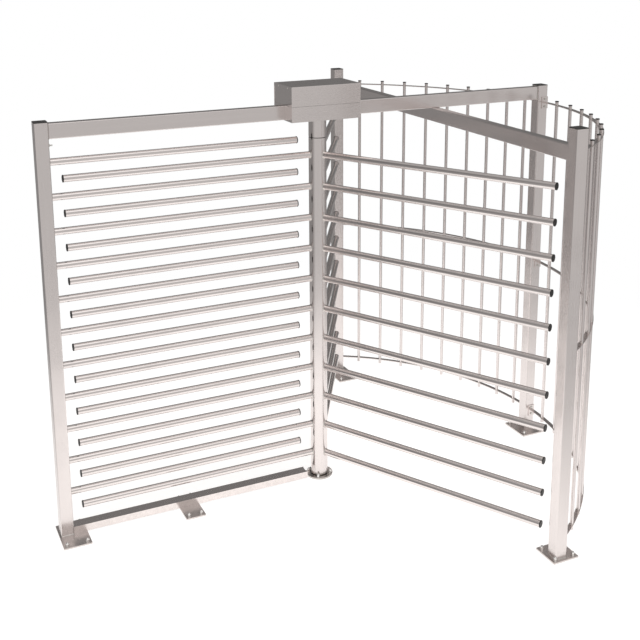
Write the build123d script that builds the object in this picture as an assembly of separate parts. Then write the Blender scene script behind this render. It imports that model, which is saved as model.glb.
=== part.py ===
# Full-height visitor turnstile: a three-wing rotor turning between a welded frame, a fixed comb and a
# round rod cage, with the bearing, index and counting mechanism in a head box over the rotor axis.
# Millimetres, +Z up. The origin is on the rotor axis at floor level. The main beam runs along X, from the
# left post to the right post, and the person walks in from -Y and out at +Y.
from build123d import *
import math
import os

# ---- frame -------------------------------------------------------------------------------------------
POST_TOP = 2296.0          # top end of the post tubes
POST_SIZE = 70.0           # square post tube
POST_WALL = 3.0
POST_CORNER = 6.0          # outer corner radius of the rolled tube
POST_CIRCLE = 1534.0       # radius of the circle that the four post centres stand on
CAP_T = 4.0                # post cap, above the tube
CAP_PLUG = 16.0            # post cap, inside the tube
SLIP = 0.2                 # clearance of a push-in plug on each side
PLATE_T = 8.0              # base plates
ANCHOR_R = 7.0             # floor anchor holes
ANCHOR_INSET = 22.0        # anchor hole centre to plate edge
BEAM_H = 80.0              # beam tube, upright
BEAM_W = 50.0
BEAM_WALL = 3.0
BEAM_CORNER = 5.0
BEAM_DROP = 6.0            # beam's top below the post tops
BEAM_TOP = POST_TOP - BEAM_DROP
BEAM_BOTTOM = BEAM_TOP - BEAM_H
CAGE_OUT = 19.0            # the cage rods' circle outside the circle of the posts
CAGE_R = POST_CIRCLE + CAGE_OUT

# size along X and Y, then the plate centre's offset from its post
PLATES = {
    "left": (152.0, 246.0, 32.0, -36.0),
    "right": (165.0, 205.0, -46.0, -50.0),
    "front": (158.0, 157.0, 19.0, 23.0),
    "back": (150.0, 246.0, 0.0, -77.0),
}

# ---- rotor, comb and their tubes ---------------------------------------------------------------------
COLUMN_R = 50.8
COLUMN_WALL = 3.0
COLUMN_BOTTOM = 16.0
SLEEVE_H = 112.0           # fixed sleeve that closes the column up to the beam
SLEEVE_BOTTOM = BEAM_BOTTOM - SLEEVE_H
SLEEVE_GAP = 4.0           # joint between the sleeve and the turning column
COLUMN_TOP = SLEEVE_BOTTOM - SLEEVE_GAP
ARM_R = 19.0
ARM_WALL = 2.0
TIP_GAP = 114.0            # end of an arm's cap to the circle of the cage rods
ARM_TIP = CAGE_R - TIP_GAP
ARM_COUNT = 11
ARM_FIRST_Z = 156.0
ARM_TOP_ROOM = 98.0        # column's top above the top arm's axis
ARM_PITCH = (COLUMN_TOP - ARM_TOP_ROOM - ARM_FIRST_Z) / (ARM_COUNT - 1)
WING_ANGLES = {"left": 180.0, "front": -60.0, "back": 60.0}
COMB_CLEAR = 77.2          # column's face to the free end of a comb arm
COMB_GAP = COLUMN_R + COMB_CLEAR
END_CAP_T = 5.0
END_CAP_LIP = 1.0          # how far a cap's rim stands out past its tube
END_CAP_PLUG = 18.0

# ---- cage --------------------------------------------------------------------------------------------
ROD_R = 10.0
ROD_WALL = 1.5
ROD_COUNT = 9              # in each of the two sections
ROD_STEP = 6.0             # degrees
ROD_BOTTOM = 83.0
ROD_TOP = BEAM_BOTTOM
ROD_CAP_LIP = 2.0
RING_W = 25.0              # flat bar, lying flat
RING_T = 5.0
RING_DROP = 21.0           # top ring below the rod tops
RING_ZS = (112.0, 1150.0, ROD_TOP - RING_DROP)
BRACKET_T = 5.0
BRACKET_W = 44.0
BRACKET_H = 74.0
BRACKET_BOLT = 24.0        # bolt centre above and below the ring
BOLT_R = 4.0
BOLT_HEAD_R = 7.0
BOLT_HEAD_T = 5.5
HOLE_PLAY = 0.3            # bolt hole radius over bolt radius

# ---- bottom rail and rotor foot ----------------------------------------------------------------------
RAIL_W = 65.0
RAIL_H = 40.0
RAIL_T = 3.0
RAIL_END_GAP = 18.0        # the rail's round end to the floor flange
MID_FOOT_X = 696.0 - POST_CIRCLE
MID_FOOT_SIZE = (115.0, 246.0)
MID_FOOT_Y = -36.0
FLANGE_R = 80.0
FLANGE_T = 10.0
FLANGE_HOLE_CIRCLE = FLANGE_R - 15.0
FLANGE_HOLE_ANGLE = 60.0
SPIGOT_R = 20.0
SPIGOT_TOP = 62.0
WASHER_T = 3.0
WASHER_R = 40.0
RUN = 0.3                  # end play under the rotor
BORE_PLAY = 0.05           # running clearance on a radius
BUSH_WALL = 6.0
HUB_H = 40.0

# ---- earth stud --------------------------------------------------------------------------------------
STUD_DROP = 36.0           # below the beam
STUD_LENGTH = 24.0
STUD_WASHER = (9.0, 2.0)

# ---- head box ----------------------------------------------------------------------------------------
HEAD_X = 210.0             # half length
HEAD_Y = 125.0             # half depth
HEAD_SHEET = 2.0
HEAD_BOTTOM = BEAM_BOTTOM - HEAD_SHEET
HEAD_SEAM = BEAM_TOP + 4.0
HEAD_TOP = BEAM_TOP + 114.0
HEAD_LIP = 18.0
SEAM_GAP = 1.0
PANEL_DROP = 50.0          # end panels reach this far down behind the base's lips
SCREW_R = 2.5
SCREW_HEAD_R = 4.8
SCREW_HEAD_T = 2.5

# ---- mechanism ---------------------------------------------------------------------------------------
BED = (360.0, 210.0, 6.0)
TOP_DISC = (20.0, 18.0)    # disc that carries the shaft: depth below the column's top, thickness
SHAFT_PLAY = 5.0           # hole radius over shaft radius in the beam and the bed plate
SHAFT_R = 15.0
SHAFT_TOP = HEAD_TOP - 28.0
RACE_WALL = 5.0
BALL_SPACE = 5.5           # between the two races
BALL_PLAY = 0.1
RACE_INNER_R = SHAFT_R + RACE_WALL + 0.5
RACE_OUTER_R = RACE_INNER_R + BALL_SPACE
BEARING_R = RACE_OUTER_R + RACE_WALL
BEARING_H = 16.0
BALL_R = BALL_SPACE / 2 - BALL_PLAY
BALL_COUNT = 11
HOUSING_HUB = (BEARING_R + 7.0, 24.0)
HOUSING_BOLT_CIRCLE = HOUSING_HUB[0] + 8.0
HOUSING_FLANGE = (HOUSING_BOLT_CIRCLE + 9.0, 10.0)
HOUSING_FLOOR = 4.0
NUT_R = SHAFT_R + 7.0
GEAR_HUB_R = SHAFT_R + 5.0
GEAR_HUB_H = 14.0
GEAR_MODULE = 2.0
GEAR_TEETH = 60
PINION_TEETH = 20
GEAR_T = 10.0
BACKLASH = 0.35
CAM_R = 70.0
CAM_T = 10.0
CAM_SPACER = 4.0
NOTCH_R = 13.0
NOTCH_DEPTH = 8.0
ROLLER_R = 12.0
ROLLER_LIFT = 0.6          # clearance of the lifted roller over the cam's rim
LEVER_LENGTH = 62.0
LEVER_T = 6.0
PIVOT_R = 5.0
LEVER_EYE_R = 10.0
LEVER_W = 12.0
LEVER_POST_R = 12.0
SPRING_WIRE = 1.2
SPRING_TURNS_H = 6.0
GEAR_HOLE_R = 9.0          # six lightening holes in the drive gear
GEAR_HOLE_CIRCLE = 42.0
COUNTER_SHAFT_R = 4.0
PEDESTAL_R = 14.0
ENCODER_R = 30.0
ENCODER_T = 2.0
ENCODER_SLOTS = 12
ENCODER_SLOT = (8.0, 3.0)
ENCODER_HUB = (9.0, 4.0)
SENSOR_W = 16.0
SENSOR_HEAD = (24.0, 22.0)
SENSOR_GAP = (18.0, 6.0)
SENSOR_LEG = 8.0

LEFT_FACE = -POST_CIRCLE + POST_SIZE / 2          # left post's inner face
BEAM_Z = BEAM_BOTTOM + BEAM_H / 2
SIDE_X = POST_CIRCLE * math.cos(math.radians(60))
SIDE_Y = POST_CIRCLE * math.sin(math.radians(60))
POSTS = {
    "left": (-POST_CIRCLE, 0.0),
    "right": (POST_CIRCLE, 0.0),
    "front": (SIDE_X, -SIDE_Y),
    "back": (SIDE_X, SIDE_Y),
}
BED_TOP = BEAM_TOP + BED[2]
GEAR_HUB_Z = BED_TOP + HOUSING_FLOOR + BEARING_H
GEAR_Z = GEAR_HUB_Z + GEAR_HUB_H
CAM_Z = GEAR_Z + GEAR_T + CAM_SPACER
COUNTER_X = GEAR_MODULE * (GEAR_TEETH + PINION_TEETH) / 2
ENCODER_Z = CAM_Z + CAM_T + 8.0
ROLLER_X = -(CAM_R + ROLLER_R + ROLLER_LIFT)
LEVER_Z = CAM_Z + CAM_T + 2.0
PIVOT_TOP = LEVER_Z + LEVER_T + 10.0

UP = (Align.CENTER, Align.CENTER, Align.MIN)


def rod(radius, height, x=0.0, y=0.0, z=0.0):
    """Upright round bar standing on z."""
    return Pos(x, y, z) * Cylinder(radius, height, align=UP)


def ring(outer, inner, height, x=0.0, y=0.0, z=0.0):
    """Upright round tube standing on z."""
    return rod(outer, height, x, y, z) - rod(inner, height, x, y, z)


def block(x_size, y_size, z_size, x=0.0, y=0.0, z=0.0):
    """Upright box standing on z."""
    return Pos(x, y, z) * Box(x_size, y_size, z_size, align=UP)


def box_tube(x_size, y_size, wall, corner, length):
    """Rolled rectangular tube standing on the origin."""
    outer = RectangleRounded(x_size, y_size, corner)
    inner = RectangleRounded(x_size - 2 * wall, y_size - 2 * wall, max(corner - wall, 0.5))
    return extrude(outer - inner, length)


def hexagon(radius, height, x=0.0, y=0.0, z=0.0):
    """Hexagon bolt head or nut standing on z."""
    return Pos(x, y, z) * extrude(RegularPolygon(radius, 6), height)


def save(node, *solids):
    """Write one sub-part; several solids stay separate in one file."""
    parts = [piece for solid in solids for piece in solid.solids()]
    shape = parts[0] if len(parts) == 1 else Compound(parts)
    export_step(shape, f"parts/{node}.step")


def plate_holes(x_size, y_size):
    """Centres of the four anchor holes of a plate that is centred on the origin."""
    half_x = x_size / 2 - ANCHOR_INSET
    half_y = y_size / 2 - ANCHOR_INSET
    return [(sx * half_x, sy * half_y) for sx in (-1, 1) for sy in (-1, 1)]


def floor_plate(x_size, y_size):
    """Base plate lying on the floor with four anchor holes."""
    plate = fillet(block(x_size, y_size, PLATE_T).edges().filter_by(Axis.Z), 3)
    for x, y in plate_holes(x_size, y_size):
        plate -= rod(ANCHOR_R, PLATE_T, x, y)
    return plate


def end_cap(radius, wall, lip):
    """Push-in tube cap; its plug goes into a tube that ends at z = 0, from below."""
    head = fillet(rod(radius + lip, END_CAP_T).edges().group_by(Axis.Z)[-1], 1.5)
    return head + rod(radius - wall - SLIP, END_CAP_PLUG, z=-END_CAP_PLUG)


def bracket_places():
    """Each cage bracket: its post, its face's centre, its outward turn about Z and its ring height."""
    face_x = SIDE_X + POST_SIZE / 2
    face_y = POST_SIZE / 2
    ring_x = math.sqrt(CAGE_R**2 - (face_y + BRACKET_T) ** 2)
    ring_y = math.sqrt(CAGE_R**2 - (face_x + BRACKET_T) ** 2)
    bracket_x = min(ring_x, POST_CIRCLE + (POST_SIZE - BRACKET_W) / 2)
    places = []
    for side, post in ((-1, "front"), (1, "back")):
        for z in RING_ZS:
            places.append(("right", bracket_x, side * face_y, 90.0 * side, z))
            places.append((post, face_x, side * ring_y, 0.0, z))
    return places


def bracket_frame(x, y, turn, z):
    """Placement whose +X leaves the post's face at a bracket."""
    return Pos(x, y, z) * Rot(0, 0, turn)


def bolt_frame(side):
    """Placement of a bolt above or below the ring, with +Z leaving the post's face."""
    return Pos(0, 0, side * BRACKET_BOLT) * Rot(0, 90, 0)


def make_posts():
    for name, (x, y) in POSTS.items():
        post = Pos(x, y, PLATE_T) * box_tube(POST_SIZE, POST_SIZE, POST_WALL, POST_CORNER, POST_TOP - PLATE_T)
        for owner, bx, by, turn, z in bracket_places():
            if owner == name:
                for side in (-1, 1):
                    drill = Pos(0, 0, -2 * POST_WALL) * rod(BOLT_R + HOLE_PLAY, 2 * POST_WALL)
                    post -= bracket_frame(bx, by, turn, z) * bolt_frame(side) * drill
        if name == "left":
            post -= earth_stud_frame() * Pos(0, 0, -2 * POST_WALL) * rod(BOLT_R + HOLE_PLAY, 2 * POST_WALL)
        save(f"{name}_post", post)
        plate_x, plate_y, off_x, off_y = PLATES[name]
        save(f"{name}_base_plate", Pos(x + off_x, y + off_y, 0) * floor_plate(plate_x, plate_y))

    cap = extrude(RectangleRounded(POST_SIZE, POST_SIZE, POST_CORNER), CAP_T)
    cap = fillet(cap.edges().group_by(Axis.Z)[-1], 1.2)
    plug_size = POST_SIZE - 2 * (POST_WALL + SLIP)
    plug = extrude(RectangleRounded(plug_size, plug_size, POST_CORNER - POST_WALL), -CAP_PLUG)
    save("post_caps", *[Pos(x, y, POST_TOP) * (cap + plug) for x, y in POSTS.values()])


def earth_stud_frame():
    """Placement of the earth stud on the left post's inner face, +Z leaving the face."""
    return Pos(LEFT_FACE, 0, BEAM_BOTTOM - STUD_DROP) * Rot(0, 90, 0)


def make_beams():
    section = (BEAM_H, BEAM_W, BEAM_WALL, BEAM_CORNER)
    span = 2 * (POST_CIRCLE - POST_SIZE / 2)
    main = Pos(-span / 2, 0, BEAM_Z) * Rot(0, 90, 0) * box_tube(*section, span)
    main -= rod(SHAFT_R + SHAFT_PLAY, BEAM_H, z=BEAM_BOTTOM)
    save("main_beam", main)
    reach = 2 * SIDE_Y - POST_SIZE
    cross = Rot(-90, 0, 0) * box_tube(BEAM_W, BEAM_H, BEAM_WALL, BEAM_CORNER, reach)
    save("cross_beam", Pos(SIDE_X, -reach / 2, BEAM_Z - BEAM_H) * cross)

    stud = rod(BOLT_R, STUD_LENGTH, z=-POST_WALL) + rod(*STUD_WASHER)
    stud += hexagon(BOLT_HEAD_R, BOLT_HEAD_T, z=STUD_WASHER[1])
    save("earth_stud", earth_stud_frame() * stud)


def make_comb():
    length = -COMB_GAP - END_CAP_T - LEFT_FACE
    arm = Pos(LEFT_FACE, 0, 0) * Rot(0, 90, 0) * ring(ARM_R, ARM_R - ARM_WALL, length)
    cap = Pos(LEFT_FACE + length, 0, 0) * Rot(0, 90, 0) * end_cap(ARM_R, ARM_WALL, END_CAP_LIP)
    heights = [ARM_FIRST_Z + (i + 0.5) * ARM_PITCH for i in range(ARM_COUNT)]
    save("comb_arms", *[Pos(0, 0, z) * arm for z in heights])
    save("comb_arm_caps", *[Pos(0, 0, z) * cap for z in heights])


def make_rotor():
    save("rotor_column", ring(COLUMN_R, COLUMN_R - COLUMN_WALL, COLUMN_TOP - COLUMN_BOTTOM, z=COLUMN_BOTTOM))
    heights = [ARM_FIRST_Z + i * ARM_PITCH for i in range(ARM_COUNT)]
    root = COLUMN_R - COLUMN_WALL
    arm = Pos(root, 0, 0) * Rot(0, 90, 0) * ring(ARM_R, ARM_R - ARM_WALL, ARM_TIP - END_CAP_T - root)
    arm -= rod(COLUMN_R, 4 * ARM_R, z=-2 * ARM_R)
    cap = Pos(ARM_TIP - END_CAP_T, 0, 0) * Rot(0, 90, 0) * end_cap(ARM_R, ARM_WALL, END_CAP_LIP)
    for name, angle in WING_ANGLES.items():
        save(f"{name}_wing_arms", *[Pos(0, 0, z) * Rot(0, 0, angle) * arm for z in heights])
        save(f"{name}_wing_caps", *[Pos(0, 0, z) * Rot(0, 0, angle) * cap for z in heights])

    depth, thickness = TOP_DISC
    disc_z = COLUMN_TOP - depth
    shaft = rod(COLUMN_R - COLUMN_WALL, thickness, z=disc_z) + rod(SHAFT_R, SHAFT_TOP - disc_z, z=disc_z)
    save("rotor_shaft", chamfer(shaft.edges().group_by(Axis.Z)[-1], 1.5))


def make_foot():
    flange = rod(FLANGE_R, FLANGE_T) + rod(SPIGOT_R, SPIGOT_TOP - FLANGE_T, z=FLANGE_T)
    flange = chamfer(flange.edges().group_by(Axis.Z)[-1], 2)
    for i in range(4):
        angle = math.radians(FLANGE_HOLE_ANGLE + 90 * i)
        x, y = FLANGE_HOLE_CIRCLE * math.cos(angle), FLANGE_HOLE_CIRCLE * math.sin(angle)
        flange -= rod(ANCHOR_R, FLANGE_T, x, y)
    save("floor_flange", flange)
    save("thrust_washer", ring(WASHER_R, SPIGOT_R + BORE_PLAY, WASHER_T, z=FLANGE_T))
    hub_z = FLANGE_T + WASHER_T + RUN
    bush_r = SPIGOT_R + BORE_PLAY
    save("foot_hub", ring(COLUMN_R - COLUMN_WALL, bush_r + BUSH_WALL, HUB_H, z=hub_z))
    save("foot_bush", ring(bush_r + BUSH_WALL, bush_r, HUB_H, z=hub_z))


def make_rail():
    length = -LEFT_FACE
    rail = block(length, RAIL_W, RAIL_H, LEFT_FACE / 2, 0, PLATE_T)
    rail -= block(length, RAIL_W - 2 * RAIL_T, RAIL_H - RAIL_T, LEFT_FACE / 2, 0, PLATE_T)
    rail -= rod(FLANGE_R + RAIL_END_GAP, RAIL_H, z=PLATE_T)
    save("bottom_rail", rail)
    save("mid_foot_plate", Pos(MID_FOOT_X, MID_FOOT_Y, 0) * floor_plate(*MID_FOOT_SIZE))


def make_cage():
    outer, inner = CAGE_R + RING_W / 2, CAGE_R - RING_W / 2
    reach_x = SIDE_X + POST_SIZE / 2 + BRACKET_T
    reach_y = POST_SIZE / 2 + BRACKET_T
    corner = (Align.MIN, Align.MIN, Align.MIN)
    for name, side in (("front", -1), ("back", 1)):
        places = [side * math.radians(ROD_STEP * (i + 1)) for i in range(ROD_COUNT)]
        spots = [(CAGE_R * math.cos(a), CAGE_R * math.sin(a)) for a in places]
        keep = Pos(reach_x, reach_y, 0) * Box(outer, outer, RING_T, align=corner)
        keep = keep if side > 0 else mirror(keep, about=Plane.XZ)
        bar = ring(outer, inner, RING_T) & keep
        for x, y in spots:
            bar -= rod(ROD_R, RING_T, x, y)
        save(f"{name}_cage_rings", *[Pos(0, 0, z - RING_T / 2) * bar for z in RING_ZS])
        tube = ring(ROD_R, ROD_R - ROD_WALL, ROD_TOP - ROD_BOTTOM)
        save(f"{name}_cage_rods", *[Pos(x, y, ROD_BOTTOM) * tube for x, y in spots])
        cap = end_cap(ROD_R, ROD_WALL, ROD_CAP_LIP)
        save(f"{name}_cage_rod_caps", *[Pos(x, y, ROD_TOP) * cap for x, y in spots])

    bracket = Pos(BRACKET_T / 2, 0, 0) * Box(BRACKET_T, BRACKET_W, BRACKET_H)
    for side in (-1, 1):
        bracket -= bolt_frame(side) * rod(BOLT_R + HOLE_PLAY, BRACKET_T)
    bolt = rod(BOLT_R, BRACKET_T + POST_WALL, z=-POST_WALL) + hexagon(BOLT_HEAD_R, BOLT_HEAD_T, z=BRACKET_T)
    frames = [bracket_frame(x, y, turn, z) for _, x, y, turn, z in bracket_places()]
    save("cage_brackets", *[frame * bracket for frame in frames])
    save("cage_bolts", *[frame * bolt_frame(side) * bolt for frame in frames for side in (-1, 1)])


def make_head():
    save("column_sleeve", ring(COLUMN_R, COLUMN_R - COLUMN_WALL, SLEEVE_H, z=SLEEVE_BOTTOM))

    base_h = HEAD_SEAM - SEAM_GAP - HEAD_BOTTOM
    base = block(2 * HEAD_X, 2 * HEAD_Y, base_h, z=HEAD_BOTTOM)
    base -= block(2 * (HEAD_X - HEAD_SHEET), 2 * (HEAD_Y - HEAD_SHEET), base_h, z=HEAD_BOTTOM + HEAD_SHEET)
    base -= block(4 * HEAD_X, BEAM_W + 2 * SLIP, base_h, z=BEAM_BOTTOM)
    base -= rod(COLUMN_R + SLIP, HEAD_SHEET, z=HEAD_BOTTOM)
    save("head_base", base)

    panel_z = HEAD_SEAM - PANEL_DROP
    panel = block(HEAD_SHEET, 2 * (HEAD_Y - HEAD_SHEET), HEAD_TOP - HEAD_SHEET - panel_z, z=panel_z)
    panel -= block(HEAD_SHEET, BEAM_W + 2 * SLIP, BEAM_TOP + SLIP - panel_z, z=panel_z)
    cover = block(2 * HEAD_X, 2 * HEAD_Y, HEAD_TOP - HEAD_SEAM, z=HEAD_SEAM)
    cover = fillet(cover.edges().filter_by(Axis.X).group_by(Axis.Z)[-1], HEAD_SHEET + 1)
    cover -= block(2 * HEAD_X, 2 * (HEAD_Y - HEAD_SHEET), HEAD_TOP - HEAD_SHEET - HEAD_SEAM, z=HEAD_SEAM)
    lip_x = HEAD_X - HEAD_SHEET / 2
    lip_z = HEAD_TOP - HEAD_SHEET - HEAD_LIP
    screws = []
    panels = []
    panel_x = lip_x - HEAD_SHEET
    for side in (-1, 1):
        lip = block(HEAD_SHEET, 2 * (HEAD_Y - HEAD_SHEET), HEAD_LIP, side * lip_x, 0, lip_z)
        end = Pos(side * panel_x, 0, 0) * panel
        for y in (-HEAD_Y / 2, HEAD_Y / 2):
            frame = Pos(side * HEAD_X, y, lip_z + HEAD_LIP / 2) * Rot(0, 90 * side, 0)
            drill = frame * rod(SCREW_R + HOLE_PLAY, 2 * HEAD_SHEET, z=-2 * HEAD_SHEET)
            lip -= drill
            end -= drill
            head = fillet(rod(SCREW_HEAD_R, SCREW_HEAD_T).edges().group_by(Axis.Z)[-1], 1.2)
            screws.append(frame * (head + rod(SCREW_R, 3 * HEAD_SHEET, z=-3 * HEAD_SHEET)))
        cover += lip
        panels.append(end)
    save("head_cover", cover)
    save("head_end_panels", *panels)
    save("head_screws", *screws)


def tooth_outline(teeth, module, phase):
    """Closed outline of an involute spur gear, with a tooth centred on the phase angle (degrees)."""
    pitch_r = module * teeth / 2
    base_r = pitch_r * math.cos(math.radians(20))
    root_r = pitch_r - 1.25 * module
    tip_r = pitch_r + module
    half_tooth = math.pi / (2 * teeth) - BACKLASH / (2 * pitch_r)

    def roll(radius):
        pressure = math.acos(min(1.0, base_r / radius))
        return math.tan(pressure) - pressure

    start_r = max(base_r, root_r)
    flank = [start_r + (tip_r - start_r) * i / 3 for i in range(4)]
    sides = [(r, half_tooth + roll(pitch_r) - roll(r)) for r in flank]
    sides = [(root_r, sides[0][1])] + sides if start_r > root_r else sides
    points = []
    for i in range(teeth):
        middle = math.radians(phase) + 2 * math.pi * i / teeth
        for r, half in sides:
            points.append((r * math.cos(middle - half), r * math.sin(middle - half)))
        for r, half in reversed(sides):
            points.append((r * math.cos(middle + half), r * math.sin(middle + half)))
    return make_face(Polyline(*points, close=True))


def make_bearing():
    bed = block(*BED, z=BEAM_TOP) - rod(SHAFT_R + SHAFT_PLAY, BED[2], z=BEAM_TOP)
    flange_r, flange_t = HOUSING_FLANGE
    hub_r, hub_t = HOUSING_HUB
    housing = rod(flange_r, flange_t, z=BED_TOP) + rod(hub_r, hub_t, z=BED_TOP)
    housing -= rod(BEARING_R, hub_t, z=BED_TOP + HOUSING_FLOOR)
    housing -= rod(RACE_OUTER_R, hub_t, z=BED_TOP)
    bolts = []
    for i in range(4):
        angle = math.radians(45 + 90 * i)
        x, y = HOUSING_BOLT_CIRCLE * math.cos(angle), HOUSING_BOLT_CIRCLE * math.sin(angle)
        drill = rod(BOLT_R + HOLE_PLAY, BED[2] + flange_t, x, y, BEAM_TOP)
        bed -= drill
        housing -= drill
        bolt = rod(BOLT_R, BED[2] + flange_t, x, y, BEAM_TOP)
        bolts.append(bolt + hexagon(BOLT_HEAD_R, BOLT_HEAD_T, x, y, BED_TOP + flange_t))
    save("bed_plate", bed)
    save("bearing_housing", housing)
    save("housing_bolts", *bolts)
    race_z = BED_TOP + HOUSING_FLOOR
    save("bearing_outer_race", ring(BEARING_R, RACE_OUTER_R, BEARING_H, z=race_z))
    save("bearing_inner_race", ring(RACE_INNER_R, SHAFT_R, BEARING_H, z=race_z))
    ball_circle = (RACE_INNER_R + RACE_OUTER_R) / 2
    balls = []
    for i in range(BALL_COUNT):
        angle = 2 * math.pi * i / BALL_COUNT
        place = Pos(ball_circle * math.cos(angle), ball_circle * math.sin(angle), race_z + BEARING_H / 2)
        balls.append(place * Sphere(BALL_R))
    save("bearing_balls", *balls)


def make_index():
    gear = Pos(0, 0, GEAR_Z) * extrude(tooth_outline(GEAR_TEETH, GEAR_MODULE, 180 / GEAR_TEETH), GEAR_T)
    gear += rod(GEAR_HUB_R, GEAR_HUB_H, z=GEAR_HUB_Z)
    gear -= rod(SHAFT_R, GEAR_T + GEAR_HUB_H, z=GEAR_HUB_Z)
    for i in range(6):
        angle = math.radians(60 * i)
        x, y = GEAR_HOLE_CIRCLE * math.cos(angle), GEAR_HOLE_CIRCLE * math.sin(angle)
        gear -= rod(GEAR_HOLE_R, GEAR_T, x, y, GEAR_Z)
    save("drive_gear", gear)

    cam = rod(CAM_R, CAM_T, z=CAM_Z) + rod(NUT_R, CAM_SPACER, z=CAM_Z - CAM_SPACER)
    cam -= rod(SHAFT_R, CAM_T + CAM_SPACER, z=CAM_Z - CAM_SPACER)
    notch_centre = CAM_R - NOTCH_DEPTH + NOTCH_R
    for angle in WING_ANGLES.values():
        turn = math.radians(angle)
        cam -= rod(NOTCH_R, CAM_T, notch_centre * math.cos(turn), notch_centre * math.sin(turn), CAM_Z)
    save("index_cam", cam)
    nut = hexagon(NUT_R, SHAFT_TOP - CAM_Z - CAM_T - 4, z=CAM_Z + CAM_T)
    save("shaft_nut", nut - rod(SHAFT_R, SHAFT_TOP, z=CAM_Z))

    pivot_y = -LEVER_LENGTH
    post = rod(LEVER_POST_R, LEVER_Z - RUN - BED_TOP, ROLLER_X, pivot_y, BED_TOP)
    post += rod(PIVOT_R, PIVOT_TOP - BED_TOP, ROLLER_X, pivot_y, BED_TOP)
    save("lever_pivot", post)
    lever = block(LEVER_W, LEVER_LENGTH, LEVER_T, ROLLER_X, pivot_y / 2, LEVER_Z)
    for y in (pivot_y, 0):
        lever += rod(LEVER_EYE_R, LEVER_T, ROLLER_X, y, LEVER_Z)
    lever -= rod(PIVOT_R + BORE_PLAY, LEVER_T, ROLLER_X, pivot_y, LEVER_Z)
    lever += rod(COUNTER_SHAFT_R, LEVER_Z - CAM_Z, ROLLER_X, 0, CAM_Z)
    save("index_lever", lever)
    save("index_roller", ring(ROLLER_R, COUNTER_SHAFT_R + BORE_PLAY, CAM_T, ROLLER_X, 0, CAM_Z))
    turns = Helix(2 * SPRING_WIRE + 0.4, SPRING_TURNS_H, PIVOT_R + 2 * SPRING_WIRE)
    wire = sweep(Plane(turns @ 0, z_dir=turns % 0) * Circle(SPRING_WIRE), turns)
    save("lever_spring", Pos(ROLLER_X, pivot_y, LEVER_Z + LEVER_T + SPRING_WIRE + RUN) * wire)


def make_counter():
    pinion_z = GEAR_Z - 2
    bore = COUNTER_SHAFT_R + BORE_PLAY
    save("counter_pedestal", ring(PEDESTAL_R, bore, pinion_z - 2 * RUN - BED_TOP, COUNTER_X, 0, BED_TOP))
    top = ENCODER_Z + ENCODER_T + 6
    teeth = extrude(tooth_outline(PINION_TEETH, GEAR_MODULE, 180), GEAR_T + 4)
    shaft = rod(COUNTER_SHAFT_R, top - BED_TOP - RUN, COUNTER_X, 0, BED_TOP + RUN)
    save("counter_pinion", shaft + Pos(COUNTER_X, 0, pinion_z) * teeth)
    disc = ring(ENCODER_R, COUNTER_SHAFT_R, ENCODER_T)
    for i in range(ENCODER_SLOTS):
        disc -= Rot(0, 0, 360 * i / ENCODER_SLOTS) * block(*ENCODER_SLOT, ENCODER_T, ENCODER_R - 7)
    hub_r, hub_h = ENCODER_HUB
    disc += ring(hub_r, COUNTER_SHAFT_R, hub_h, z=-hub_h)
    save("encoder_disc", Pos(COUNTER_X, 0, ENCODER_Z) * disc)
    fork_x = COUNTER_X + ENCODER_R
    head_x, head_h = SENSOR_HEAD
    gap_x, gap_h = SENSOR_GAP
    disc_z = ENCODER_Z + ENCODER_T / 2
    head_z = disc_z - head_h / 2
    fork = block(head_x, SENSOR_W, head_h, fork_x, 0, head_z)
    fork -= block(gap_x, SENSOR_W, gap_h, fork_x - (head_x - gap_x) / 2, 0, disc_z - gap_h / 2)
    fork += block(SENSOR_LEG, SENSOR_W, head_z - BED_TOP, fork_x + (head_x - SENSOR_LEG) / 2, 0, BED_TOP)
    save("pulse_sensor", fork)


os.makedirs("parts", exist_ok=True)
make_posts()
make_beams()
make_comb()
make_rotor()
make_foot()
make_rail()
make_cage()
make_head()
make_bearing()
make_index()
make_counter()
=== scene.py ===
import bpy
import math
from mathutils import Matrix, Vector


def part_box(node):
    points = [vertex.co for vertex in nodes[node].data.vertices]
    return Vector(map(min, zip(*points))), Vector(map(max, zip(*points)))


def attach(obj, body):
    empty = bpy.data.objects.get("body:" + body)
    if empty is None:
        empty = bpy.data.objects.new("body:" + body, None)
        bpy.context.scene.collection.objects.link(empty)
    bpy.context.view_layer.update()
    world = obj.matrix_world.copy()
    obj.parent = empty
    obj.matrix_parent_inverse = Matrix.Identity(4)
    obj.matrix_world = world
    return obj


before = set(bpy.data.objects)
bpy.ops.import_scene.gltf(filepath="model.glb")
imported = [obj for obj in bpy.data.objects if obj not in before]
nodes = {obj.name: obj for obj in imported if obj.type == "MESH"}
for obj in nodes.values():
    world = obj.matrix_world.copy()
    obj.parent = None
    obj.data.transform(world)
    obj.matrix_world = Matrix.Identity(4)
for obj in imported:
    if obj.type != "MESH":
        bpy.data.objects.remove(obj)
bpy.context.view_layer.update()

# ---- posts ---------------------------------------------------------------------------------------------
# Four square stainless tubes, 70 mm, rolled with soft corners and brushed along their length. The finish
# is a satin grain with faint polishing marks, and handling smudges at hand height.


def add_group(name, inputs, outputs):
    """An empty shader node group with its named sockets and its two end nodes."""
    group = bpy.data.node_groups.new(name, "ShaderNodeTree")
    for label, kind, value in inputs:
        socket = group.interface.new_socket(label, in_out="INPUT", socket_type=kind)
        if value is not None:
            socket.default_value = value
    for label, kind in outputs:
        group.interface.new_socket(label, in_out="OUTPUT", socket_type=kind)
    return group, group.nodes.new("NodeGroupInput"), group.nodes.new("NodeGroupOutput")


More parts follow.
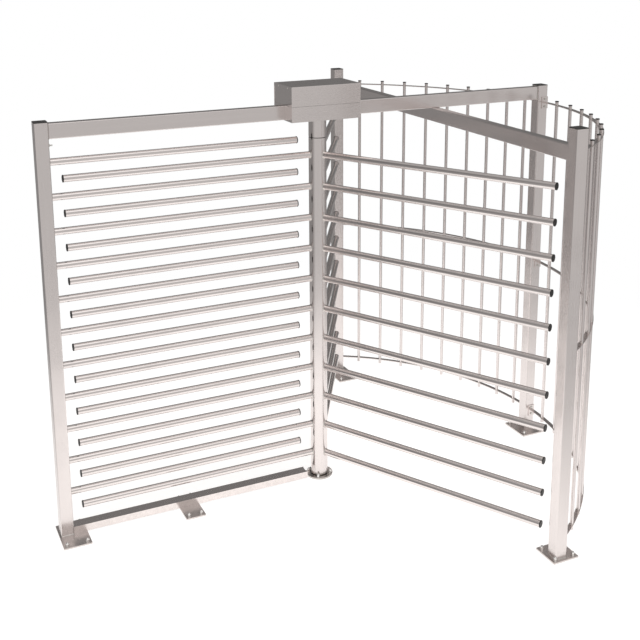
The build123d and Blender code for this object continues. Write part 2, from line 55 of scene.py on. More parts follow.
def add_node(tree, kind, settings=None, sockets=None):
    """A node with its settings, and with its sockets set to a value or linked from another socket."""
    node = tree.nodes.new(kind)
    for key, value in (settings or {}).items():
        setattr(node, key, value)
    for key, value in (sockets or {}).items():
        if isinstance(value, bpy.types.NodeSocket):
            tree.links.new(value, node.inputs[key])
        else:
            node.inputs[key].default_value = value
    return node


def noise(tree, vector, scale, detail=2.0, **more):
    """Soft noise over a vector."""
    return add_node(tree, "ShaderNodeTexNoise", None,
                    {"Vector": vector, "Scale": scale, "Detail": detail, **more}).outputs["Fac"]


def rescale(tree, value, source=(0.0, 1.0), target=(0.0, 1.0), smooth=False):
    """A value moved from one range to another and held at its ends."""
    return add_node(tree, "ShaderNodeMapRange", {"interpolation_type": "SMOOTHSTEP" if smooth else "LINEAR"},
                    {"Value": value, "From Min": source[0], "From Max": source[1],
                     "To Min": target[0], "To Max": target[1]}).outputs[0]


def blend(tree, factor, first, second):
    """A mix of two colours."""
    return add_node(tree, "ShaderNodeMix", {"data_type": "RGBA"},
                    {"Factor": factor, "A": first, "B": second}).outputs["Result"]


def calculate(tree, operation, *values):
    """One step of arithmetic on values."""
    return add_node(tree, "ShaderNodeMath", {"operation": operation}, dict(enumerate(values))).outputs[0]


def relief(tree, shader, height, strength, depth):
    """Fine relief on the shader's surface."""
    bump = add_node(tree, "ShaderNodeBump", None, {"Strength": strength, "Distance": depth, "Height": height})
    tree.links.new(bump.outputs["Normal"], shader.inputs["Normal"])


def paint(tree, shader, colour, rough):
    """Feed the shader its colour and its roughness."""
    tree.links.new(colour, shader.inputs["Base Color"])
    tree.links.new(rough, shader.inputs["Roughness"])


def tint(colour, share=1.0):
    """A colour made lighter or darker."""
    return tuple(min(1.0, part * share) for part in colour) + (1.0,)


def make_brushed_grain():
    """Fine lines that run along X of the vector it is given, in long and short strokes."""
    group, start, end = add_group(
        "brushed_grain",
        [("Vector", "NodeSocketVector", None), ("Lines", "NodeSocketFloat", 900.0)],
        [("Grain", "NodeSocketFloat"), ("Strokes", "NodeSocketFloat")],
    )
    drawn = {"operation": "MULTIPLY"}
    fine = add_node(group, "ShaderNodeVectorMath", drawn, {0: start.outputs["Vector"], 1: (0.02, 1, 1)})
    coarse = add_node(group, "ShaderNodeVectorMath", drawn, {0: start.outputs["Vector"], 1: (2, 60, 60)})
    grain = noise(group, fine.outputs[0], start.outputs["Lines"], detail=3.0, Roughness=0.6)
    strokes = noise(group, coarse.outputs[0], 1.0, detail=4.0)
    group.links.new(grain, end.inputs["Grain"])
    group.links.new(strokes, end.inputs["Strokes"])
    return group


def make_handling_marks():
    """Soft blotches where hands and sleeves touch the metal, strongest at hand height."""
    group, start, end = add_group(
        "handling_marks",
        [("Vector", "NodeSocketVector", None), ("Size", "NodeSocketFloat", 7.0),
         ("Amount", "NodeSocketFloat", 0.5)],
        [("Mask", "NodeSocketFloat")],
    )
    cloud = noise(group, start.outputs["Vector"], start.outputs["Size"], detail=5.0, Distortion=0.4)
    blotch = rescale(group, cloud, (0.48, 0.7))
    height = add_node(group, "ShaderNodeSeparateXYZ", None, {0: start.outputs["Vector"]}).outputs["Z"]
    low = rescale(group, height, (0.3, 1.1), (0.35, 1.0), smooth=True)
    high = rescale(group, height, (1.3, 2.0), (1.0, 0.3), smooth=True)
    mask = calculate(group, "MULTIPLY", blotch, calculate(group, "MULTIPLY", low, high))
    group.links.new(calculate(group, "MULTIPLY", mask, start.outputs["Amount"]), end.inputs["Mask"])
    return group


def make_floor_dust():
    """Dust and mop marks that fade out above the floor."""
    group, start, end = add_group(
        "floor_dust",
        [("Vector", "NodeSocketVector", None), ("Reach", "NodeSocketFloat", 0.12)],
        [("Mask", "NodeSocketFloat")],
    )
    height = add_node(group, "ShaderNodeSeparateXYZ", None, {0: start.outputs["Vector"]}).outputs["Z"]
    fade = rescale(group, height, (0.0, start.outputs["Reach"]), (1.0, 0.0), smooth=True)
    speck = noise(group, start.outputs["Vector"], 45.0, detail=6.0, Roughness=0.7)
    spread = rescale(group, speck, (0.35, 0.65))
    group.links.new(calculate(group, "MULTIPLY", fade, spread), end.inputs["Mask"])
    return group


brushed_grain = make_brushed_grain()
handling_marks = make_handling_marks()
floor_dust = make_floor_dust()


def add_effect(tree, group, sockets):
    """One of the shared effects, placed in a material."""
    return add_node(tree, "ShaderNodeGroup", {"node_tree": group}, sockets)


def new_material(name):
    """A material with only its output and shader, and the object's own coordinates."""
    material = bpy.data.materials.new(name)
    material.use_nodes = True
    tree = material.node_tree
    place = add_node(tree, "ShaderNodeTexCoord")
    return material, tree, tree.nodes["Principled BSDF"], place.outputs["Object"]


SATIN_COLOUR = (0.81, 0.755, 0.738)
DUST_COLOUR = (0.42, 0.39, 0.36)
GRAIN_DEPTH = 0.00004


def brushed_stainless(name, turn, colour=SATIN_COLOUR, rough=0.2, lines=900.0, marks=0.5):
    """Satin stainless whose grain runs along X before it is turned."""
    material, tree, shader, place = new_material(name)
    mapped = add_node(tree, "ShaderNodeMapping", {"vector_type": "TEXTURE"},
                      {"Vector": place, "Rotation": turn})
    grain = add_effect(tree, brushed_grain, {"Vector": mapped.outputs[0], "Lines": lines})
    marked = add_effect(tree, handling_marks, {"Vector": place, "Amount": marks}).outputs["Mask"]
    dust = add_effect(tree, floor_dust, {"Vector": place}).outputs["Mask"]
    tone = blend(tree, grain.outputs["Strokes"], tint(colour, 0.955), tint(colour, 1.02))
    worn = blend(tree, marked, tone, tint(colour, 0.86))
    dusty = blend(tree, calculate(tree, "MULTIPLY", dust, 0.25), worn, tint(DUST_COLOUR))
    streak = rescale(tree, grain.outputs["Grain"], (0.3, 0.7), (rough - 0.05, rough + 0.07))
    smear = calculate(tree, "MULTIPLY_ADD", marked, 0.14, streak)
    paint(tree, shader, dusty, calculate(tree, "MULTIPLY_ADD", dust, 0.12, smear))
    shader.inputs["Metallic"].default_value = 1.0
    relief(tree, shader, grain.outputs["Grain"], 0.25, GRAIN_DEPTH)
    return material


def dress(material, *names):
    """Put a material in every slot of the CAD nodes."""
    for name in names:
        for slot in nodes[name].material_slots:
            slot.material = material


ALONG_X = (0.0, 0.0, 0.0)
ALONG_Y = (0.0, 0.0, math.radians(90))
UPRIGHT = (0.0, math.radians(90), 0.0)
post_steel = brushed_stainless("post_steel", UPRIGHT)
dress(post_steel, "left_post", "right_post", "front_post", "back_post")

# ---- post caps -----------------------------------------------------------------------------------------
# Black moulded caps pushed into the post tops. The plastic is nylon with a fine spark texture and faint
# greyer, duller clouds.


def moulded_nylon(name, colour=(0.012, 0.0115, 0.011), rough=0.42):
    """Moulded nylon with a fine texture and soft clouds of a greyer tone."""
    material, tree, shader, place = new_material(name)
    cloud = noise(tree, place, 22.0, detail=4.0)
    paint(tree, shader, blend(tree, cloud, tint(colour), tint(colour, 2.4)),
          rescale(tree, cloud, target=(rough - 0.08, rough + 0.12)))
    relief(tree, shader, noise(tree, place, 2400.0), 0.3, 0.00005)
    return material


cap_nylon = moulded_nylon("cap_nylon")
dress(cap_nylon, "post_caps")

# ---- base plates ---------------------------------------------------------------------------------------
# Laser-cut stainless plates, 8 mm, under each post and half way along the bottom rail. They are cold
# rolled and brushed across, with four anchor holes each, and each post is fillet welded to its plate.

PLATE_COLOUR = (0.77, 0.715, 0.695)
POST_PLATES = ["left_base_plate", "right_base_plate", "front_base_plate", "back_base_plate"]
plate_steel = brushed_stainless("plate_steel", ALONG_Y, PLATE_COLOUR, rough=0.26, lines=700.0, marks=0.3)
dress(plate_steel, "mid_foot_plate", *POST_PLATES)


def start_piece():
    bpy.ops.object.select_all(action="DESELECT")


def pick(piece, kind, wanted):
    """Select only the piece's faces or vertices that pass a test, and stay in edit mode."""
    bpy.ops.object.mode_set(mode="EDIT")
    bpy.ops.mesh.select_mode(type=kind)
    bpy.ops.mesh.select_all(action="DESELECT")
    bpy.ops.object.mode_set(mode="OBJECT")
    for element in piece.data.polygons if kind == "FACE" else piece.data.vertices:
        element.select = wanted(element)
    bpy.ops.object.mode_set(mode="EDIT")


def apply_modifier(piece, kind, **settings):
    """Add a modifier with its settings and apply it."""
    modifier = piece.modifiers.new(kind.lower(), kind)
    for key, value in settings.items():
        setattr(modifier, key, value)
    bpy.ops.object.modifier_apply(modifier=modifier.name)


def face_outwards():
    """Turn every face of the piece in edit mode outwards, and leave edit mode."""
    bpy.ops.mesh.select_all(action="SELECT")
    bpy.ops.mesh.normals_make_consistent(inside=False)
    bpy.ops.object.mode_set(mode="OBJECT")


SMOOTH_ANGLE = math.radians(35)


def finish_piece(name, material, body):
    """Name the piece, give it its finish, set its place in its mesh and let it ride on its body."""
    piece = bpy.context.object
    piece.name = name
    piece.data.name = name
    bpy.ops.object.transform_apply(location=True, rotation=True, scale=True)
    bpy.ops.object.shade_smooth_by_angle(angle=SMOOTH_ANGLE)
    piece.data.materials.clear()
    piece.data.materials.append(material)
    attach(piece, body)


def join_pieces(pieces):
    """Make one piece of several."""
    start_piece()
    for piece in pieces:
        piece.select_set(True)
    bpy.context.view_layer.objects.active = pieces[0]
    bpy.ops.object.join()
    return bpy.context.object


def join_copies(first, places):
    """Copies of one modelled shape, each set at its own place, joined into one piece."""
    copies = []
    for place in places:
        copy = first.copy()
        copy.data = first.data.copy()
        copy.data.transform(place)
        bpy.context.scene.collection.objects.link(copy)
        copies.append(copy)
    bpy.data.objects.remove(first)
    return join_pieces(copies)


def seat(x, y, z, degrees=0.0, axis="Z"):
    """A place for a copy: turned about one axis, then moved."""
    return Matrix.Translation((x, y, z)) @ Matrix.Rotation(math.radians(degrees), 4, axis)


def weld_steel_material():
    """Weld metal that is brushed after welding, with its ripples still there."""
    material, tree, shader, place = new_material("weld_steel")
    ripple = add_node(tree, "ShaderNodeTexVoronoi", {"feature": "SMOOTH_F1"},
                      {"Vector": place, "Scale": 320.0})
    cloud = noise(tree, place, 60.0, detail=4.0)
    paint(tree, shader, blend(tree, cloud, tint((0.52, 0.48, 0.44)), tint((0.68, 0.66, 0.64))),
          rescale(tree, cloud, target=(0.22, 0.42)))
    shader.inputs["Metallic"].default_value = 1.0
    relief(tree, shader, ripple.outputs["Distance"], 0.6, 0.0006)
    return material


weld_steel = weld_steel_material()
WELD_LEG = 0.004
POST_CORNER = 0.006


def square_weld(width_x, width_y, corner, leg):
    """A fillet weld round a rectangular tube that stands on the floor of its own space, +Z up."""
    start_piece()
    bpy.ops.mesh.primitive_plane_add(size=1.0)
    seam = bpy.context.object
    seam.scale = (width_x, width_y, 1.0)
    bpy.ops.object.transform_apply(scale=True)
    bpy.ops.object.mode_set(mode="EDIT")
    bpy.ops.mesh.select_all(action="SELECT")
    bpy.ops.mesh.bevel(offset=corner, offset_type="OFFSET", segments=4, affect="VERTICES")
    bpy.ops.mesh.select_all(action="SELECT")
    bpy.ops.mesh.extrude_region_move(TRANSFORM_OT_translate={"value": (0, 0, leg)})
    pick(seam, "FACE", lambda face: abs(face.normal.z) > 0.9)
    bpy.ops.mesh.delete(type="FACE")
    pick(seam, "VERT", lambda vertex: vertex.co.z < leg / 2)
    bpy.ops.transform.resize(value=(1 + 2 * leg / width_x, 1 + 2 * leg / width_y, 1.0))
    face_outwards()
    apply_modifier(seam, "SOLIDIFY", thickness=leg * 0.5, offset=-1.0)
    apply_modifier(seam, "BEVEL", width=leg * 0.3, segments=2)
    return seam


for name in ("left", "right", "front", "back"):
    low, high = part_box(f"{name}_post")
    plate_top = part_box(f"{name}_base_plate")[1].z
    middle = (low + high) / 2
    seam = square_weld(high.x - low.x, high.y - low.y, POST_CORNER, WELD_LEG)
    seam.location = (middle.x, middle.y, plate_top)
    finish_piece(f"{name}_post_weld", weld_steel, "frame")

# ---- beams ---------------------------------------------------------------------------------------------
# Rectangular stainless tube, 80 x 50 mm on edge: the main beam joins the left and right posts, and the
# cross beam passes under it from the front post to the back post. All ends are fillet welded all round.

beam_steel = brushed_stainless("beam_steel", ALONG_X, marks=0.25)
cross_steel = brushed_stainless("cross_beam_steel", ALONG_Y, marks=0.25)
dress(beam_steel, "main_beam")
dress(cross_steel, "cross_beam")

BEAM_CORNER = 0.005
beam_low, beam_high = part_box("main_beam")
beam_width, beam_height = beam_high.y - beam_low.y, beam_high.z - beam_low.z
beam_z = (beam_low.z + beam_high.z) / 2
beam_ends = [seat(beam_low.x, 0, beam_z, 90, "Y"), seat(beam_high.x, 0, beam_z, -90, "Y")]
join_copies(square_weld(beam_height, beam_width, BEAM_CORNER, WELD_LEG), beam_ends)
finish_piece("main_beam_welds", weld_steel, "frame")

cross_low, cross_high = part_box("cross_beam")
cross_width, cross_height = cross_high.x - cross_low.x, cross_high.z - cross_low.z
cross_x, cross_z = (cross_low.x + cross_high.x) / 2, (cross_low.z + cross_high.z) / 2
cross_ends = [seat(cross_x, cross_low.y, cross_z, -90, "X"), seat(cross_x, cross_high.y, cross_z, 90, "X")]
join_copies(square_weld(cross_width, cross_height, BEAM_CORNER, WELD_LEG), cross_ends)
finish_piece("cross_beam_welds", weld_steel, "frame")


def straight_weld(length, leg):
    """A rounded bead in the corner between two faces; it runs along X and fills the corner +Y, -Z."""
    start_piece()
    bpy.ops.mesh.primitive_cylinder_add(vertices=12, radius=leg, depth=length,
                                        rotation=(0, math.radians(90), 0))
    bead = bpy.context.object
    bpy.ops.object.transform_apply(rotation=True)
    bpy.ops.object.mode_set(mode="EDIT")
    for outside in ((0, -1, 0), (0, 0, 1)):
        bpy.ops.mesh.select_all(action="SELECT")
        bpy.ops.mesh.bisect(plane_co=(0, 0, 0), plane_no=outside, use_fill=True, clear_outer=True)
    face_outwards()
    return bead


# The two beads under the main beam, one along each side of the cross beam's top.
BEAD_END = 0.006
BEAD_SINK = 0.001
crossing_places = [
    seat(cross_high.x - BEAD_SINK, 0, beam_low.z, -90),
    seat(cross_low.x + BEAD_SINK, 0, beam_low.z, 90),
]
join_copies(straight_weld(beam_width - 2 * BEAD_END, WELD_LEG), crossing_places)
finish_piece("beam_crossing_welds", weld_steel, "frame")

# ---- comb ----------------------------------------------------------------------------------------------
# Eleven polished tubes, 38 mm, welded to the left post's inner face and closed at the free end by a black
# plug with a thin rim. They stand half a pitch above the rotor's tubes.

TUBE_COLOUR = (0.83, 0.775, 0.757)
TUBE_ROUGH = 0.13
comb_steel = brushed_stainless("comb_tube_steel", ALONG_X, TUBE_COLOUR, TUBE_ROUGH, marks=0.35)
dress(comb_steel, "comb_arms")
dress(cap_nylon, "comb_arm_caps")

ARM_COUNT = 11
comb_low, comb_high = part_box("comb_arms")
arm_radius = (comb_high.y - comb_low.y) / 2


def arm_heights(low, high):
    """The heights of the arms' axes between the lowest and the highest point of a row of arms."""
    pitch = (high.z - low.z - 2 * arm_radius) / (ARM_COUNT - 1)
    return [low.z + arm_radius + i * pitch for i in range(ARM_COUNT)]


def round_weld(radius, leg, steps=32):
    """A rounded fillet weld round a tube that stands on the floor of its own space, +Z up."""
    start_piece()
    bpy.ops.mesh.primitive_cylinder_add(vertices=steps, radius=radius + leg, depth=leg,
                                        end_fill_type="NOTHING", location=(0, 0, leg / 2))
    seam = bpy.context.object
    bpy.ops.object.transform_apply(location=True)
    pick(seam, "VERT", lambda vertex: vertex.co.z > leg / 2)
    shrink = radius / (radius + leg)
    bpy.ops.transform.resize(value=(shrink, shrink, 1.0))
    face_outwards()
    apply_modifier(seam, "SOLIDIFY", thickness=leg * 0.5, offset=-1.0)
    return seam


COMB_WELD_LEG = 0.003
comb_places = [seat(comb_low.x, 0, height, 90, "Y") for height in arm_heights(comb_low, comb_high)]
join_copies(round_weld(arm_radius, COMB_WELD_LEG), comb_places)
finish_piece("comb_arm_welds", weld_steel, "frame")

# ---- rotor ---------------------------------------------------------------------------------------------
# A 101.6 mm column with three wings of eleven tubes each, 120 degrees apart, on a plain foot and a shaft
# at the top. Every tube is coped to the column, welded all round, and closed by a black plug.

COLUMN_COLOUR = (0.82, 0.765, 0.748)
column_steel = brushed_stainless("column_steel", UPRIGHT, COLUMN_COLOUR, rough=0.15, marks=0.35)
dress(column_steel, "rotor_column", "column_sleeve")

column_low, column_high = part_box("rotor_column")
column_radius = (column_high.x - column_low.x) / 2
wing_heights = arm_heights(*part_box("left_wing_arms"))
COPED_WELD_LEG = 0.0035
WINGS = {"left": 180.0, "front": -60.0, "back": 60.0}


def coped_weld():
    """The weld round one arm, bent to the column's curve; the arm leaves along +X."""
    seam = round_weld(arm_radius, COPED_WELD_LEG, 40)
    seam.data.transform(Matrix.Rotation(math.radians(90), 4, "Y"))
    for vertex in seam.data.vertices:
        across = min(abs(vertex.co.y), column_radius)
        vertex.co.x += math.sqrt(column_radius**2 - across**2)
    seam.data.update()
    return seam


for name, degrees in WINGS.items():
    grain_turn = (0.0, 0.0, math.radians(degrees))
    wing_steel = brushed_stainless(f"{name}_wing_steel", grain_turn, TUBE_COLOUR, TUBE_ROUGH, marks=0.45)
    dress(wing_steel, f"{name}_wing_arms")
    dress(cap_nylon, f"{name}_wing_caps")
    join_copies(coped_weld(), [seat(0, 0, height, degrees) for height in wing_heights])
    finish_piece(f"{name}_wing_welds", weld_steel, "rotor")

# ---- rotor foot ----------------------------------------------------------------------------------------
# A turned stainless flange with a spigot, bolted to the floor through four holes. The rotor runs on it
# with a bronze washer and a bronze bush pressed into a steel hub.

TOOL_MARKS = 1400.0


def turned_metal(name, colour, rough):
    """Machined metal whose tool marks circle the rotor's axis."""
    material, tree, shader, place = new_material(name)
    parts = add_node(tree, "ShaderNodeSeparateXYZ", None, {0: place})
    flat = add_node(tree, "ShaderNodeCombineXYZ", None, {0: parts.outputs["X"], 1: parts.outputs["Y"]})
    radius = add_node(tree, "ShaderNodeVectorMath", {"operation": "LENGTH"}, {0: flat.outputs[0]})
    line = add_node(tree, "ShaderNodeCombineXYZ", None, {0: radius.outputs["Value"], 2: parts.outputs["Z"]})
    marks = noise(tree, line.outputs[0], TOOL_MARKS, detail=3.0)
    cloud = noise(tree, place, 30.0, detail=4.0)
    paint(tree, shader, blend(tree, cloud, tint(colour, 0.9), tint(colour, 1.08)),
          rescale(tree, marks, target=(rough - 0.06, rough + 0.1)))
    shader.inputs["Metallic"].default_value = 1.0
    relief(tree, shader, marks, 0.25, GRAIN_DEPTH)
    return material


flange_steel = turned_metal("flange_steel", (0.56, 0.53, 0.505), 0.2)
shaft_steel = turned_metal("shaft_steel", (0.52, 0.52, 0.53), 0.26)
bronze = turned_metal("bearing_bronze", (0.62, 0.42, 0.2), 0.3)
dress(flange_steel, "floor_flange")
dress(shaft_steel, "rotor_shaft", "foot_hub")
dress(bronze, "thrust_washer", "foot_bush")

# ---- bottom rail ---------------------------------------------------------------------------------------
# A folded channel, 65 x 40 mm, open side down, from the left post to the rotor's foot. It stands on the
# post's plate and on the middle foot.

rail_steel = brushed_stainless("rail_steel", ALONG_X, (0.87, 0.805, 0.785), rough=0.16, marks=0.3)
dress(rail_steel, "bottom_rail")

# ---- cage ----------------------------------------------------------------------------------------------
# Two curved screens of nine 20 mm rods on three flat rings. Each rod passes through the rings and is
# welded to them, the rings end on flat bracket plates, and two bolts hold each plate to its post.

rod_steel = brushed_stainless("rod_steel", UPRIGHT, (0.80, 0.745, 0.73), rough=0.18, marks=0.25)
ring_steel = brushed_stainless("ring_steel", ALONG_Y, (0.78, 0.72, 0.70), rough=0.22, marks=0.2)
dress(rod_steel, "front_cage_rods", "back_cage_rods")
dress(ring_steel, "front_cage_rings", "back_cage_rings", "cage_brackets")
dress(cap_nylon, "front_cage_rod_caps", "back_cage_rod_caps")

ROD_RADIUS = 0.010
ROD_STEP = 6.0
ROD_COUNT = 9
ROD_WELD_LEG = 0.002
CAGE_RADIUS = 1.553
RING_HEIGHTS = (0.112, 1.150, 2.189)
RING_THICK = 0.005
for name, side in (("front", -1), ("back", 1)):
    rod_places = []
    for i in range(ROD_COUNT):
        angle = side * math.radians(ROD_STEP * (i + 1))
        x, y = CAGE_RADIUS * math.cos(angle), CAGE_RADIUS * math.sin(angle)
        for height in RING_HEIGHTS:
            rod_places.append(seat(x, y, height + RING_THICK / 2))
            rod_places.append(seat(x, y, height - RING_THICK / 2, 180, "X"))
    join_copies(round_weld(ROD_RADIUS, ROD_WELD_LEG, 16), rod_places)
    finish_piece(f"{name}_cage_welds", weld_steel, "frame")

# ---- fasteners -----------------------------------------------------------------------------------------
# Zinc-plated hexagon bolts, pan-head screws and the shaft nut, screwed into the posts, the box and the
# bearing housing. The plating is pale and slightly mottled.


def zinc_plating(name):
    """Zinc plate with its faint mottling."""
    material, tree, shader, place = new_material(name)
    mottle = add_node(tree, "ShaderNodeTexVoronoi", None, {"Vector": place, "Scale": 260.0})
    cloud = noise(tree, place, 90.0, detail=3.0)
    paint(tree, shader, blend(tree, cloud, tint((0.56, 0.56, 0.53)), tint((0.74, 0.73, 0.7))),
          rescale(tree, mottle.outputs["Distance"], target=(0.25, 0.45)))
    shader.inputs["Metallic"].default_value = 1.0
    return material


zinc_plate = zinc_plating("zinc_plate")
dress(zinc_plate, "cage_bolts", "head_screws", "housing_bolts", "earth_stud", "shaft_nut")

# ---- floor anchors -------------------------------------------------------------------------------------
# Polished steel studs set in the floor, one through each hole of the base plates, the middle foot and the
# rotor's flange. Each carries a flat washer and a domed hexagon nut.

ANCHOR_RADIUS = 0.006
ANCHOR_WASHER_RADIUS = 0.012
ANCHOR_WASHER_THICK = 0.0025
ANCHOR_NUT_RADIUS = 0.011
ANCHOR_NUT_THICK = 0.010
ANCHOR_DOME = 0.0088
ANCHOR_INSET = 0.022
STUD_GAP = 0.0002
WASHER_EDGE = 0.0004
NUT_EDGE = 0.001
DOME_STEPS = 6
anchor_steel = turned_metal("anchor_steel", (0.82, 0.80, 0.78), 0.12)


def turned_blank(sides, radius, low, high):
    """A closed round or hexagon bar between two heights."""
    start_piece()
    bpy.ops.mesh.primitive_cylinder_add(vertices=sides, radius=radius, depth=high - low,
                                        location=(0, 0, (low + high) / 2))
    bpy.ops.object.transform_apply(location=True)
    return bpy.context.object


def draw_up(blank, steps):
    """Draw the flat top up in steps, each with its rise and its share of the width before."""
    pick(blank, "FACE", lambda face: face.normal.z > 0.9)
    for rise, share in steps:
        bpy.ops.mesh.extrude_region_move(TRANSFORM_OT_translate={"value": (0, 0, rise)})
        bpy.ops.transform.resize(value=(share, share, 1.0))
    bpy.ops.object.mode_set(mode="OBJECT")
    return blank


def floor_anchor(plate_thick):
    """Stud, washer and domed nut that stand on the top of a plate, at z = 0 of their own space."""
    turns = [math.radians(90 * i / DOME_STEPS) for i in range(DOME_STEPS)]
    dome = [(ANCHOR_DOME * (math.sin(after) - math.sin(before)), math.cos(after) / math.cos(before))
            for before, after in zip(turns, turns[1:])]
    washer_top = ANCHOR_WASHER_THICK
    nut_top = washer_top + ANCHOR_NUT_THICK
    return join_pieces([
        draw_up(turned_blank(16, ANCHOR_RADIUS, STUD_GAP - plate_thick, -STUD_GAP), [(STUD_GAP, 1.0)]),
        draw_up(turned_blank(32, ANCHOR_WASHER_RADIUS, 0.0, washer_top - WASHER_EDGE), [(WASHER_EDGE, 0.96)]),
        draw_up(turned_blank(6, ANCHOR_NUT_RADIUS, washer_top, nut_top - NUT_EDGE), [(NUT_EDGE, 0.88)]),
        draw_up(turned_blank(24, ANCHOR_DOME, nut_top - NUT_EDGE / 2, nut_top + NUT_EDGE), dome),
    ])


for name in ("mid_foot_plate", *POST_PLATES):
    low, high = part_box(name)
    corners = [(x, y) for x in (low.x + ANCHOR_INSET, high.x - ANCHOR_INSET)
               for y in (low.y + ANCHOR_INSET, high.y - ANCHOR_INSET)]
    join_copies(floor_anchor(high.z - low.z), [seat(x, y, high.z) for x, y in corners])
    finish_piece(name.replace("plate", "anchors"), anchor_steel, "frame")

FLANGE_TOP = 0.010
FLANGE_CIRCLE = 0.065
FLANGE_FIRST_HOLE = 60
flange_places = []
for i in range(4):
    turn = math.radians(FLANGE_FIRST_HOLE + 90 * i)
    flange_places.append(seat(FLANGE_CIRCLE * math.cos(turn), FLANGE_CIRCLE * math.sin(turn), FLANGE_TOP))
join_copies(floor_anchor(FLANGE_TOP), flange_places)
finish_piece("floor_flange_anchors", anchor_steel, "frame")

# ---- head box ------------------------------------------------------------------------------------------
# A folded 2 mm stainless box over the rotor's top: a tray under the beam, a cover with rounded folds over
# it, and two set-back end panels held by pan-head screws.

head_steel = brushed_stainless("head_steel", ALONG_X, rough=0.24, marks=0.2)
dress(head_steel, "head_base", "head_cover", "head_end_panels")

# ---- bearing and index ---------------------------------------------------------------------------------
# A cast flange housing with a ball bearing on a steel bed plate carries the rotor's shaft. A gear and a
# three-notch cam sit on the shaft, and a sprung lever holds a nylon roller beside the cam.


def cast_paint(name):
    """Dark machine enamel over a sand casting."""
    material, tree, shader, place = new_material(name)
    sand = noise(tree, place, 420.0, detail=6.0)
    cloud = noise(tree, place, 30.0, detail=3.0)
    paint(tree, shader, blend(tree, cloud, tint((0.10, 0.11, 0.12)), tint((0.16, 0.17, 0.18))),
          rescale(tree, sand, target=(0.32, 0.5)))
    relief(tree, shader, sand, 0.5, 0.0004)
    return material


housing_paint = cast_paint("housing_paint")
race_steel = turned_metal("race_steel", (0.72, 0.72, 0.74), 0.12)
bed_steel = brushed_stainless("bed_steel", ALONG_X, (0.5, 0.5, 0.5), rough=0.3, marks=0.0)
roller_nylon = moulded_nylon("roller_nylon", (0.09, 0.095, 0.1), rough=0.4)
dress(housing_paint, "bearing_housing")
dress(race_steel, "bearing_outer_race", "bearing_inner_race", "bearing_balls", "lever_spring")
dress(bed_steel, "bed_plate", "index_lever", "lever_pivot")
dress(shaft_steel, "drive_gear", "index_cam")
dress(roller_nylon, "index_roller")

# ---- counter -------------------------------------------------------------------------------------------
# A pinion on the rotor's gear turns a slotted disc three times as fast through a fork sensor, which
# counts the visitors. The pedestal and shaft are steel, and the disc and sensor are moulded nylon.

sensor_nylon = moulded_nylon("sensor_nylon", (0.05, 0.052, 0.055), rough=0.38)
dress(shaft_steel, "counter_pedestal", "counter_pinion")
dress(sensor_nylon, "encoder_disc", "pulse_sensor")

# ---- studio --------------------------------------------------------------------------------------------
# A white seamless floor, a broad soft light over the front and a soft studio round it: pale in front of
# the object, dim behind it, so that satin steel shows its edges.

FLOOR_RADIUS = 4.4
FLOOR_FULL = 0.7
STUDIO_WHITE = (1.0, 0.985, 0.975)
start_piece()
bpy.ops.mesh.primitive_circle_add(vertices=96, radius=FLOOR_RADIUS, fill_type="NGON", location=(0, 0, 0))
floor = bpy.context.object
floor.name = "studio_floor"
floor_paint, floor_tree, floor_shader, floor_place = new_material("floor_paint")
floor_tone = noise(floor_tree, floor_place, 3.0)
floor_colour = blend(floor_tree, floor_tone, tint((0.4, 0.395, 0.39)), tint((0.42, 0.415, 0.41)))
floor_reach = add_node(floor_tree, "ShaderNodeVectorMath", {"operation": "LENGTH"}, {0: floor_place})
floor_fade = rescale(floor_tree, floor_reach.outputs["Value"], (FLOOR_FULL, FLOOR_RADIUS), (1.0, 0.0),
                     smooth=True)
floor_tree.links.new(floor_colour, floor_shader.inputs["Base Color"])
floor_tree.links.new(floor_fade, floor_shader.inputs["Alpha"])
floor_shader.inputs["Emission Color"].default_value = tint(STUDIO_WHITE)
floor_shader.inputs["Emission Strength"].default_value = 0.78
floor_shader.inputs["Roughness"].default_value = 0.9
floor_shader.inputs["Specular IOR Level"].default_value = 0.1
floor.data.materials.append(floor_paint)

# How bright the studio is: in front, behind and low, behind and high, overhead, and in the soft panel.
FRONT_LIGHT = 0.585
BACK_LIGHT_LOW = 0.27
BACK_LIGHT_HIGH = 0.17
TOP_LIGHT = 0.3
PANEL_LIGHT = 0.4
PANEL_WAY = (-0.1, -0.58, 0.81)


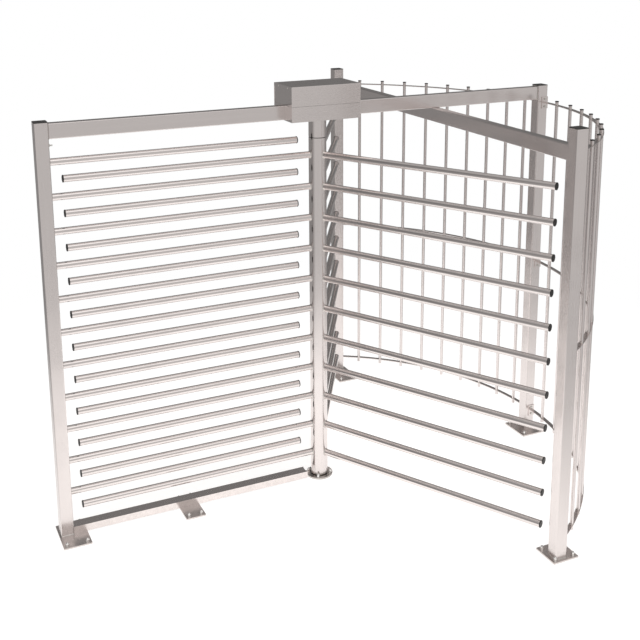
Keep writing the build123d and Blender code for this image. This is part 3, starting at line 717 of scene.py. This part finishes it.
def make_world():
    """Soft studio surround: a pale front, a dim back, a bright band overhead, and white to the eye."""
    world = bpy.data.worlds.new("studio")
    world.use_nodes = True
    bpy.context.scene.world = world
    tree = world.node_tree
    background = tree.nodes["Background"]
    place = add_node(tree, "ShaderNodeTexCoord").outputs["Generated"]
    ways = add_node(tree, "ShaderNodeSeparateXYZ", None, {0: place})
    behind = rescale(tree, ways.outputs["Z"], (-0.15, 0.12), (BACK_LIGHT_LOW, BACK_LIGHT_HIGH), smooth=True)
    front = rescale(tree, ways.outputs["Y"], (-0.6, 0.15), (FRONT_LIGHT, behind), smooth=True)
    above = rescale(tree, ways.outputs["Z"], (0.45, 0.9), (0.0, TOP_LIGHT), smooth=True)
    toward = add_node(tree, "ShaderNodeVectorMath", {"operation": "DOT_PRODUCT"}, {0: place, 1: PANEL_WAY})
    panel = rescale(tree, toward.outputs["Value"], (0.86, 0.97), (0.0, PANEL_LIGHT), smooth=True)
    level = calculate(tree, "ADD", front, calculate(tree, "ADD", above, panel))
    warm = add_node(tree, "ShaderNodeVectorMath", {"operation": "SCALE"}, {0: STUDIO_WHITE, "Scale": level})
    eye = add_node(tree, "ShaderNodeLightPath")
    seen = blend(tree, eye.outputs["Is Camera Ray"], warm.outputs[0], (1.0, 1.0, 1.0, 1.0))
    tree.links.new(seen, background.inputs["Color"])
    background.inputs["Strength"].default_value = 1.0


make_world()

LAMP_PLACE = Vector((0.0, -1.5, 7.0))
LAMP_SIZE = (9.0, 7.0)
LAMP_POWER = 400.0
lamp = bpy.data.lights.new("overhead", "AREA")
lamp.shape = "RECTANGLE"
lamp.size, lamp.size_y = LAMP_SIZE
lamp.energy = LAMP_POWER
lamp.color = (1.0, 0.99, 0.98)
light = bpy.data.objects.new("overhead", lamp)
light.location = LAMP_PLACE
light.rotation_euler = (-LAMP_PLACE).to_track_quat("-Z", "Y").to_euler()
light.visible_glossy = False
bpy.context.scene.collection.objects.link(light)
bpy.context.scene.view_settings.view_transform = "Standard"
bpy.context.scene.view_settings.look = "None"

# ---- camera --------------------------------------------------------------------------------------------
# A camera a little above head height in front of the entrance side, turned to the right and down.

CAMERA_PLACE = (-2.373, -5.154, 3.158)
CAMERA_YAW = math.radians(24.86)
CAMERA_DOWN = math.radians(12.65)
CAMERA_ROLL = math.radians(-0.29)
SENSOR_MM = 36.0
LENS_MM = 57.16125
camera_data = bpy.data.cameras.new("view")
camera_data.sensor_width = SENSOR_MM
camera_data.lens = LENS_MM
camera_data.shift_y = -0.23
camera_data.clip_end = 400.0
camera = bpy.data.objects.new("view", camera_data)
bpy.context.scene.collection.objects.link(camera)
facing = Matrix.Rotation(-CAMERA_YAW, 4, "Z") @ Matrix.Rotation(math.radians(90) - CAMERA_DOWN, 4, "X")
camera.matrix_world = Matrix.Translation(CAMERA_PLACE) @ facing @ Matrix.Rotation(CAMERA_ROLL, 4, "Z")
bpy.context.scene.camera = camera
